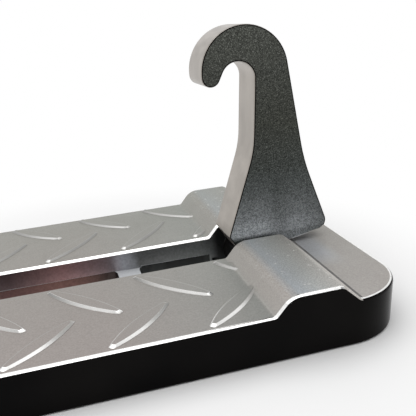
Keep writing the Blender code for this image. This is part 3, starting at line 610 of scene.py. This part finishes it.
def makeBar(row, name):
    # a lens: two long arcs that meet in small round tips, bevelled all round
    reach = row["length"] / 2 - barSize["tip"]
    half = barSize["width"] / 2
    side = (reach ** 2 + half ** 2 - barSize["tip"] ** 2) / (2 * (half - barSize["tip"]))
    base = plateSize["treadHeight"] - barSize["root"]
    rise = barSize["root"] + barSize["step"]
    middle, sides = base + rise / 2, barSize["arcSides"]
    lens = addRod(name, side, rise, (0, half - side, middle), "Z", satin, sides)
    otherSide = addRod("otherSide", side, 3 * rise, (0, side - half, middle), "Z", satin, sides)
    combine(lens, otherSide, "INTERSECT")
    keep = addBox("blunt", (-row["length"] / 2 + barSize["blunt"], -half, base - rise),
                  (row["length"] / 2 - barSize["blunt"], half, base + 2 * rise), satin)
    combine(lens, keep, "INTERSECT")
    roundUprights(lens, barSize["tipRadius"], barSize["tipSegments"],
                  lambda edge: abs(edgeMiddle(edge).x) > row["length"] / 2 - barSize["blunt"] - snap)
    pick(lens, "faces", lambda face: face.normal.z > straight)
    bpy.ops.mesh.extrude_region_move(
        TRANSFORM_OT_translate={"value": (0, 0, barSize["height"] - barSize["step"])})
    leaveEdit()
    for point in lens.data.vertices:
        if point.co.z > base + rise + snap:
            point.co.x *= 1 - barSize["bevel"] * barSize["tipDraw"] / (row["length"] / 2)
            point.co.y *= (half - barSize["bevel"]) / half
    pick(lens, "faces", lambda face: face.normal.z > straight and face.calc_center_median().z > base + rise)
    bpy.ops.mesh.inset(thickness=barSize["strip"], depth=0)
    leaveEdit()
    sheenTone, line, farLineShade = [finishNumber(lens, item) for item in (barFace, barLine, barFarLineShaded)]
    top = max(lens.data.polygons, key=lambda face: face.area if face.normal.z > straight else 0).index
    for face in lens.data.polygons:
        isTip = abs(face.center.x) > row["length"] / 2 - barSize["bevel"] * barSize["tipZone"]
        face.material_index = line
        if face.index == top:
            face.material_index = 0
        elif not isTip and barSize["steepest"] < face.normal.z < straight:
            face.material_index = sheenTone
        # the far side's bevel takes the darker copy, a painted shade
        elif not isTip and face.center.y > 0:
            face.material_index = farLineShade
    return lens


def copyOf(master, name, place, turn):
    copied = master.copy()
    copied.data = master.data.copy()
    copied.name = copied.data.name = name
    scene.collection.objects.link(copied)
    copied.location = place
    copied.rotation_euler = (0, 0, turn)
    applyPlace(copied)
    return copied


def barField():
    # two rows each side of the slot, mirrored about it
    bars = []
    for number, row in enumerate(barRows):
        master = makeBar(row, f"bar{number}")
        x = treadFoot - row["fromRidge"]
        while x - row["length"] / 2 > plateLow.x + barSize["margin"]:
            for side in (1, -1):
                bars.append(copyOf(master, f"bar{number}_{len(bars)}", (x, side * row["fromMiddle"], 0),
                                   side * row["lean"]))
            x -= barSize["pitch"]
        bpy.data.objects.remove(master)
    clearSelection()
    for bar in bars:
        bar.select_set(True)
    bpy.context.view_layer.objects.active = bars[0]
    bpy.ops.object.join()
    print("bars on the tread:", len(bars))
    return bpy.context.object


def bridgeTool():
    reach = slotSize["bridgeWidth"] / 2 + slotSize["windowRadius"] + plateSize["gap"]
    side = slotSize["halfWidth"] + slotSize["sideWall"] / 2
    return addBox("bridgeTool", (bridgeX - reach, -side, slotSize["bridgeLift"]),
                  (bridgeX + reach, side, slotFloor), bridgeCast)


def cutWindows(plate):
    half = slotSize["halfWidth"] + slotSize["undercut"]
    top, low = slotFloor + slotSize["step"], -plateSize["beyond"]
    bridgeHalf = slotSize["bridgeWidth"] / 2
    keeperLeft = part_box("pin_keeper_front")[0].x - hingeSize["margin"]
    radius = slotSize["windowRadius"]
    combine(plate, slotTool("leftWindow", slotLeft - slotSize["undercut"], bridgeX - bridgeHalf, half,
                            low, top, half, radius, windowSide))
    # the right window's walls take the dark recess finish, a painted shade
    combine(plate, slotTool("rightWindow", bridgeX + bridgeHalf, keeperLeft, half,
                            low, top, radius, radius, shadedRecess))


def cutPockets(plate):
    low, top = -plateSize["beyond"], plateSize["ceiling"]
    inner = slotSize["halfWidth"] + slotSize["sideWall"]
    outer = halfWidth - plateSize["skirt"]
    slotWall = slotLeft - slotSize["sideWall"]
    keeperLow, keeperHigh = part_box("pin_keeper_front")
    blockLeft = keeperLow.x - hingeSize["margin"] - plateSize["skirt"]
    blockRight = keeperHigh.x + hingeSize["margin"] + plateSize["rib"] / 2
    cheek = slotSize["halfWidth"] + hingeSize["cheek"]
    shelfOuter = halfWidth - plateSize["cornerRadius"] + plateSize["pocketCorner"]
    rib = plateSize["rib"]
    pockets = [(plateLow.x + plateSize["skirt"], slotWall, inner, outer),
               (slotWall + rib, bridgeX - rib / 2, inner, outer),
               (bridgeX + rib / 2, blockLeft, inner, outer),
               (blockLeft + rib, blockRight, cheek + rib, outer),
               (blockRight + rib / 2, plateHigh.x - plateSize["endWall"], rib / 2, shelfOuter)]
    for number, (left, right, near, far) in enumerate(pockets):
        for side in (1, -1):
            y = sorted((side * near, side * far))
            tool = addBox(f"pocket{number}", (left, y[0], low), (right, y[1], top), cast)
            # the first pockets follow the plate's round corners
            if number == 0:
                radius = plateSize["cornerRadius"] - plateSize["skirt"]
                roundUprights(tool, radius, plateSize["endPocketSegments"], lambda edge:
                              edgeMiddle(edge).x < left + millimetre
                              and abs(edgeMiddle(edge).y) > far - millimetre)
            corners = [Vector((x, side * reach)) for x in (left, right) for reach in (near, far)
                       if not (number == 0 and x == left and reach == far)]
            roundUprights(tool, plateSize["pocketCorner"], plateSize["pocketSegments"], lambda edge: any(
                (edgeMiddle(edge).xy - corner).length < snap for corner in corners))
            combine(plate, tool)
    centre = addBox("pocketCentre", (plateLow.x + plateSize["skirt"], -slotSize["halfWidth"], low),
                    (slotWall, slotSize["halfWidth"], top), cast)
    roundUprights(centre, plateSize["pocketCorner"], plateSize["pocketSegments"])
    combine(plate, centre)


def cutHinge(plate):
    low = -plateSize["beyond"]
    keeperLow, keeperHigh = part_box("pin_keeper_front")
    cheek = slotSize["halfWidth"] + hingeSize["cheek"]
    margin = hingeSize["margin"]
    keeperSeat = addBox("keeperSeat", (keeperLow.x - margin, -cheek, low),
                        (keeperHigh.x + margin, cheek, hingeSize["cheekFloor"]), cast)
    roundUprights(keeperSeat, hingeSize["keeperCorner"], hingeSize["keeperSegments"])
    combine(plate, keeperSeat)
    saddle, reach = hingeSize["saddle"], pinHigh.y + plateSize["gap"]
    trough = addBox("trough", (pinMiddle.x - saddle, -reach, low),
                    (pinMiddle.x + saddle, reach, pinMiddle.z + saddle), cast)
    pick(trough, "edges", lambda edge: edgeMiddle(edge).z > pinMiddle.z
         and abs(edgeMiddle(edge).y) < millimetre and abs(edgeMiddle(edge).x - pinMiddle.x) > millimetre)
    bevelPicked(saddle * hingeSize["saddleRound"], hingeSize["saddleSegments"])
    leaveEdit()
    combine(plate, trough)
    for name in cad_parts:
        if name.startswith("keeper_screw"):
            screwLow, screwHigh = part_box(name)
            middle = (screwLow + screwHigh) / 2
            top = screwHigh.z + plateSize["gap"]
            combine(plate, addRod("screwHole", hingeSize["screwHole"], top - low,
                                  (middle.x, middle.y, (top + low) / 2), "Z", cast, hingeSize["screwSides"]))


def cutHeelSeat(plate):
    # the ramp in the ridge's foot that the upright hook's heel rests on
    start, end = heelLine()
    way = (end - start).normalized()
    drop = Vector((way.y, -way.x)) * plateSize["gap"]
    pin = Vector((pinMiddle.x, pinMiddle.z))
    low = pin + start + drop - way * plateSize["pocketCorner"]
    high = pin + end + drop
    half = slotSize["halfWidth"] - plateSize["gap"]
    top = plateHigh.z + plateSize["beyond"]
    tool = addBox("heelSeat", (low.x, -half, low.y), (high.x, half, top), slotSide)
    pick(tool, "verts", lambda vert: vert.co.x > high.x - snap and vert.co.z < high.y - snap)
    bpy.ops.transform.translate(value=(0, 0, high.y - low.y))
    leaveEdit()
    combine(plate, tool)


def cutBufferSeat(plate):
    bufferLow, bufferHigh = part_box("end_buffer")
    gap, right = plateSize["gap"], plateHigh.x + plateSize["beyond"]
    combine(plate, addBox("bufferSeat", (bufferLow.x - gap, bufferLow.y - gap, bufferLow.z - gap),
                          (right, bufferHigh.y + gap, bufferHigh.z + gap), black))
    for name in ("buffer_screw_front", "buffer_screw_rear"):
        screwLow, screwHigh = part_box(name)
        middle = (screwLow + screwHigh) / 2
        middle.x = plateHigh.x - plateSize["endWall"] / 2
        length = 2 * plateSize["endWall"] + plateSize["beyond"]
        combine(plate, addRod("screwHole", plateSize["bufferScrewHole"], length, middle, "X", cast,
                              hingeSize["screwSides"]))


# the hook's side view as pegs that a belt runs round: (place from the pin, radius), a hollow is negative
hookShape = {"eye": 0.0069, "heelFillet": (0.0015, radians(19.9)), "heel": (0.0170, 0.0088, 0.0027),
             "backKnee": (0.0628, 0.0381, -0.0500), "head": (-0.0011, 0.0512, 0.01149),
             "nose": (0.00242, radians(183.5)), "throat": (-0.0031, 0.04955, -0.00433),
             "frontKnee": (-0.0269, 0.0368, -0.0270), "shoulder": (-0.00802, 0.00828, 0.0005),
             "shoulderFillet": (0.0010, radians(152.9)), "edgeBreak": 0.0004, "breakSegments": 2,
             "stepAngle": radians(3), "boreSides": 64, "smoothBelow": radians(25)}
# faces that lean this far to the side are the coat's edge break, painted black all round as a line of shade,
# and face down this far where it is worn
coatEdge = {"from": 0.55, "to": 0.99, "wornBelow": -0.25}


def fromAngle(angle, length):
    return Vector((cos(angle) * length, sin(angle) * length))


def hookPegs():
    shape = hookShape
    head = Vector(shape["head"][:2])
    noseRadius, noseAngle = shape["nose"]
    heelRadius, heelAngle = shape["heelFillet"]
    shoulderRadius, shoulderAngle = shape["shoulderFillet"]
    pegs = [(Vector((0, 0)), shape["eye"]), (fromAngle(heelAngle, shape["eye"] + heelRadius), -heelRadius)]
    pegs += [(Vector(shape[key][:2]), shape[key][2]) for key in ("heel", "backKnee", "head")]
    pegs.append((head + fromAngle(noseAngle, shape["head"][2] - noseRadius), noseRadius))
    pegs += [(Vector(shape[key][:2]), shape[key][2]) for key in ("throat", "frontKnee", "shoulder")]
    pegs.append((fromAngle(shoulderAngle, shape["eye"] + shoulderRadius), -shoulderRadius))
    return pegs


def beltLine(first, second):
    # the straight run from one peg to the next
    (start, startRadius), (end, endRadius) = first, second
    reach = end - start
    lean = asin(max(-1.0, min(1.0, (endRadius - startRadius) / reach.length)))
    heading = fromAngle(atan2(reach.y, reach.x) - lean, 1)
    left = Vector((-heading.y, heading.x))
    return start - left * startRadius, end - left * endRadius


def heelLine():
    pegs = hookPegs()
    return beltLine(pegs[1], pegs[2])


def drawOutline(name, pegs, origin, y):
    # starts as a plane that is merged to one point, which is then spun and extruded round the pegs
    starts = beltLine(pegs[-1], pegs[0])[1]
    clearSelection()
    bpy.ops.mesh.primitive_plane_add(size=millimetre, location=(origin.x + starts.x, y, origin.y + starts.y))
    piece = bpy.context.object
    piece.name = piece.data.name = name
    applyPlace(piece)
    pickAll(piece)
    bpy.ops.mesh.merge(type="CENTER")
    here = starts
    for index, (centre, radius) in enumerate(pegs):
        leaves, arrives = beltLine((centre, radius), pegs[(index + 1) % len(pegs)])
        a, b = here - centre, leaves - centre
        sweep = atan2(a.x * b.y - a.y * b.x, a.dot(b))
        if radius > 0 and sweep < -snap:
            sweep += 2 * pi
        steps = max(1, int(abs(sweep) / hookShape["stepAngle"]) + 1)
        if abs(sweep) > snap:
            bpy.ops.mesh.spin(steps=steps, angle=sweep, center=(origin.x + centre.x, y, origin.y + centre.y),
                              axis=(0, 1, 0))
        step = arrives - leaves
        if step.length > weld:
            bpy.ops.mesh.extrude_region_move(TRANSFORM_OT_translate={"value": (step.x, 0, step.y)})
        here = arrives
    bpy.ops.mesh.select_all(action="SELECT")
    bpy.ops.mesh.remove_doubles(threshold=weld)
    bpy.ops.mesh.select_all(action="SELECT")
    bpy.ops.mesh.edge_face_add()
    return piece


def makeHook():
    half = hookHigh.y
    origin = Vector((pinMiddle.x, pinMiddle.z))
    hook = drawOutline("hookBlade", hookPegs(), origin, -half)
    bpy.ops.mesh.extrude_region_move(TRANSFORM_OT_translate={"value": (0, 2 * half, 0)})
    bpy.ops.mesh.select_all(action="SELECT")
    bpy.ops.mesh.normals_make_consistent(inside=False)
    leaveEdit()
    sides, edges, painted, worn = [finishNumber(hook, item) for item in (coat, milled, black, bright)]
    eyeReach = hookShape["eye"] + hookShape["heelFillet"][0]
    for face in hook.data.polygons:
        isEye = (Vector((face.center.x, face.center.z)) - origin).length < eyeReach
        face.material_index = sides if abs(face.normal.y) > straight else painted if isEye else edges
    bore = addRod("bore", hingeSize["saddle"], 4 * half, pinMiddle, "Y", milled, hookShape["boreSides"])
    combine(hook, bore)
    pick(hook, "edges", lambda edge: abs(abs(edgeMiddle(edge).y) - half) < snap
         and abs(edge.verts[0].co.y - edge.verts[1].co.y) < snap)
    bevelPicked(hookShape["edgeBreak"], hookShape["breakSegments"])
    leaveEdit()
    # the coat's edge break is painted black all round as a line of shade, and is worn to bare metal under
    # the heel
    for face in hook.data.polygons:
        if coatEdge["from"] < abs(face.normal.y) < coatEdge["to"]:
            isHeel = face.center.x > origin.x + eyeReach and face.normal.z < coatEdge["wornBelow"]
            face.material_index = worn if isHeel else painted
    smoothShade(hook, hookShape["smoothBelow"])
    return hook


print("shapes ready")

plate = ridgedBlock()
combine(plate, planTool(), "INTERSECT")
roundRim(plate)
half, beyond = slotSize["halfWidth"], plateSize["beyond"]
combine(plate, slotTool("slotTool", slotLeft, slotRight, half, -beyond, plateHigh.z + beyond,
                        half, slotSize["corner"], slotSide))
breakSlotEdges(plate, plateSize["treadHeight"], slotSize["edgeBreak"], bright)
print("plate outlined:", len(plate.data.polygons), "faces")
combine(plate, bridgeTool(), "UNION")
cutWindows(plate)
breakSlotEdges(plate, slotFloor + slotSize["step"], slotSize["lowerBreak"], bridgeCast)
cutPockets(plate)
print("underside hollowed")
cutHinge(plate)
cutHeelSeat(plate)
cutBufferSeat(plate)
print("seats cut")
combine(plate, barField(), "UNION")
smoothShade(plate, plateSize["smoothBelow"])
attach(plate, "plate")
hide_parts("body_plate")
print("plate done:", len(plate.data.polygons), "faces in", len(plate.data.materials), "finishes")

hook = makeHook()
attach(hook, "hook_arm")
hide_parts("hook")
print("hook done:", len(hook.data.polygons), "faces")

for name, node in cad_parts.items():
    finish = steel
    if name.startswith("thrust_washer"):
        finish = nylon
    if name == "end_buffer":
        finish = rubber
    # the pin's keepers take the dark recess finish, a painted shade
    if name.startswith("pin_keeper"):
        finish = shadedRecess
    if name not in ("body_plate", "hook"):
        node.data.materials.clear()
        node.data.materials.append(finish)
print("small parts finished")

# floor, light and camera

floorLook = {"size": 6.0, "dark": (0.945, 0.945, 0.945), "pale": (0.965, 0.965, 0.965),
             "noise": (3.0, 2.0), "ends": (0.3, 0.7), "rough": 0.7, "specular": 0.0,
             "fadeFrom": 0.08, "fadeTo": 0.125}


def backgroundRays(tree):
    # 1 for what the camera sees, directly or in a shiny face
    path = addNode(tree, "ShaderNodeLightPath")
    either = addNode(tree, "ShaderNodeMath", operation="MAXIMUM")
    tree.links.new(path.outputs["Is Camera Ray"], either.inputs[0])
    tree.links.new(path.outputs["Is Glossy Ray"], either.inputs[1])
    return either.outputs[0]


def makeFloor():
    # pale sheet that keeps the shadow near the step and runs out into plain white further off
    clearSelection()
    bpy.ops.mesh.primitive_plane_add(size=floorLook["size"], location=(0, 0, 0))
    floor = bpy.context.object
    floor.name = "floor"
    finish = mottled("paleFloor", floorLook)
    tree = finish.node_tree
    place = addNode(tree, "ShaderNodeTexCoord")
    reach = addNode(tree, "ShaderNodeVectorMath", operation="LENGTH")
    fade = addNode(tree, "ShaderNodeMapRange", interpolation_type="SMOOTHSTEP")
    fade.inputs["From Min"].default_value = floorLook["fadeFrom"]
    fade.inputs["From Max"].default_value = floorLook["fadeTo"]
    share = addNode(tree, "ShaderNodeMath", operation="MULTIPLY")
    white = addNode(tree, "ShaderNodeEmission")
    mix = addNode(tree, "ShaderNodeMixShader")
    tree.links.new(place.outputs["Object"], reach.inputs[0])
    tree.links.new(reach.outputs["Value"], fade.inputs["Value"])
    tree.links.new(fade.outputs["Result"], share.inputs[0])
    tree.links.new(backgroundRays(tree), share.inputs[1])
    tree.links.new(share.outputs[0], mix.inputs["Fac"])
    tree.links.new(tree.nodes["Principled BSDF"].outputs[0], mix.inputs[1])
    tree.links.new(white.outputs[0], mix.inputs[2])
    tree.links.new(mix.outputs[0], tree.nodes["Material Output"].inputs["Surface"])
    floor.data.materials.append(finish)


lightLook = {"overheadSize": 0.90, "overheadHeight": 0.55, "overheadPlace": (-0.12, -0.05),
             "overheadPower": 3.2, "world": 0.45, "background": 1.0, "flagTowards": (0.62, -0.62, 0.48),
             "flagEnds": (0.865, 0.93), "flagShade": 0.30}


def makeLights():
    world = bpy.data.worlds.new("plainStudio")
    scene.world = world
    world.use_nodes = True
    tree = world.node_tree
    plain = tree.nodes["Background"]
    plain.inputs["Color"].default_value = (1, 1, 1, 1)
    plain.inputs["Strength"].default_value = lightLook["world"]
    pale = addNode(tree, "ShaderNodeBackground")
    pale.inputs["Strength"].default_value = lightLook["background"]
    # a grey flag at the right, seen only in the metal, keeps the shelf's rim from flaring
    path = addNode(tree, "ShaderNodeLightPath")
    place = addNode(tree, "ShaderNodeTexCoord")
    towards = addNode(tree, "ShaderNodeVectorMath", operation="DOT_PRODUCT")
    towards.inputs[1].default_value = Vector(lightLook["flagTowards"]).normalized()
    tree.links.new(place.outputs["Generated"], towards.inputs[0])
    flag = twoTones(tree, towards.outputs["Value"], 1.0, lightLook["flagShade"], lightLook["flagEnds"])
    tree.links.new(mixColours(tree, path.outputs["Is Camera Ray"], flag, (1, 1, 1)), pale.inputs["Color"])
    mix = addNode(tree, "ShaderNodeMixShader")
    tree.links.new(backgroundRays(tree), mix.inputs["Fac"])
    tree.links.new(plain.outputs[0], mix.inputs[1])
    tree.links.new(pale.outputs[0], mix.inputs[2])
    tree.links.new(mix.outputs[0], tree.nodes["World Output"].inputs["Surface"])
    x, y = lightLook["overheadPlace"]
    bpy.ops.object.light_add(type="AREA", location=(x, y, lightLook["overheadHeight"]))
    overhead = bpy.context.object
    overhead.name = overhead.data.name = "overheadSoftbox"
    overhead.data.size = lightLook["overheadSize"]
    overhead.data.energy = lightLook["overheadPower"]
    overhead.visible_camera = False


cameraPlace = {"location": (0.0044, -0.1534, 0.0735), "turn": (72.188, 4.606, -15.572), "lens": 52.66,
               "sensor": 36.0, "nearest": 0.005}


def makeCamera():
    turn = [radians(angle) for angle in cameraPlace["turn"]]
    bpy.ops.object.camera_add(location=cameraPlace["location"], rotation=turn)
    camera = bpy.context.object
    camera.name = "photoCamera"
    camera.data.lens = cameraPlace["lens"]
    camera.data.sensor_width = cameraPlace["sensor"]
    camera.data.clip_start = cameraPlace["nearest"]
    scene.camera = camera


makeFloor()
makeLights()
makeCamera()
scene.view_settings.view_transform = "Standard"
print("floor, light and camera ready")

clearSelection()
